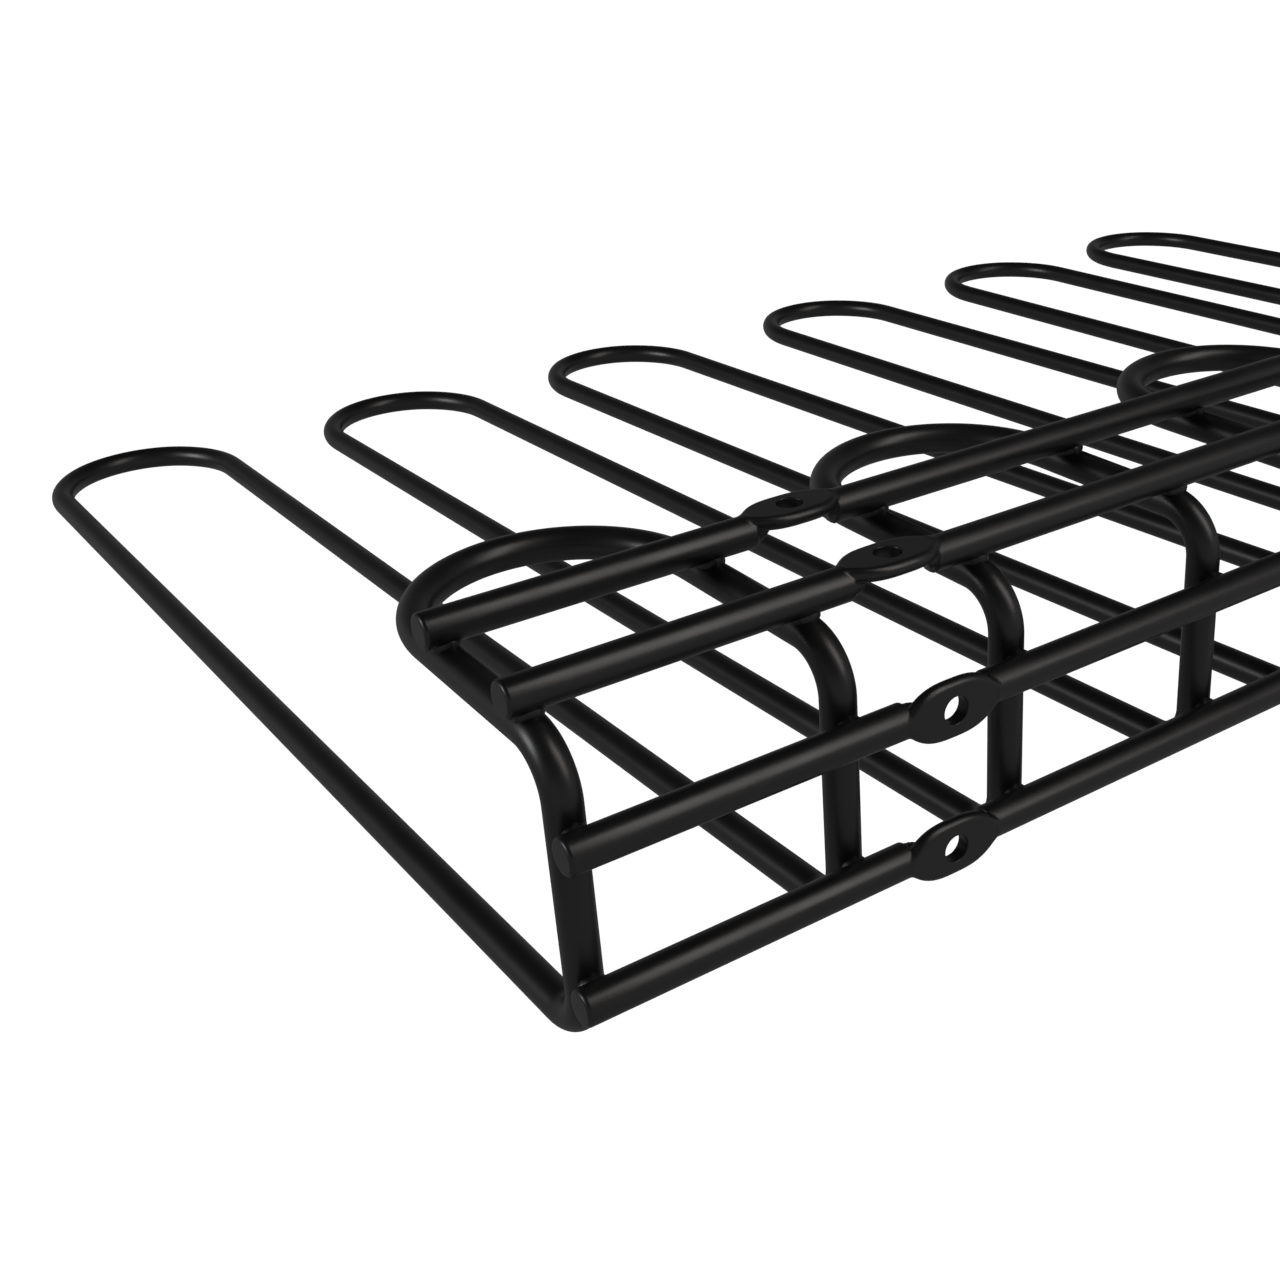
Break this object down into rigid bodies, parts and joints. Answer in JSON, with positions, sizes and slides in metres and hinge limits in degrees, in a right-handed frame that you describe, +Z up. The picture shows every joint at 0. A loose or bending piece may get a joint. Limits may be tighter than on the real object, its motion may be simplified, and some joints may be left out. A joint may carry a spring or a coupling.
{
  "type": "hanging stemware rack",
  "caption": "Black wire rack that hangs stemmed glasses by the foot: long U loops side by side, held by straight rails with screw lugs.",
  "frame": {"origin": "centre of the four wall holes, on the plane that the back rails and their lugs press against the wall", "axes": "+X along the rails, +Y from the wall out to the tips of the long loops, +Z up towards the shelf"},
  "size_m": [0.4779, 0.3383, 0.0609],
  "materials": {
    "powder_coat": "satin"
  },
  "bodies": {
    "root": {"wire_loop_1": "powder_coat", "wire_loop_2": "powder_coat", "wire_loop_3": "powder_coat", "wire_loop_4": "powder_coat", "wire_loop_5": "powder_coat", "wire_loop_6": "powder_coat", "rail_top_rear": "powder_coat", "rail_top_front": "powder_coat", "rail_back_upper": "powder_coat", "rail_back_lower": "powder_coat", "welds_top_rear": "powder_coat", "welds_top_front": "powder_coat", "welds_back_upper": "powder_coat", "welds_back_lower": "powder_coat"}
  },
  "joints": []
}
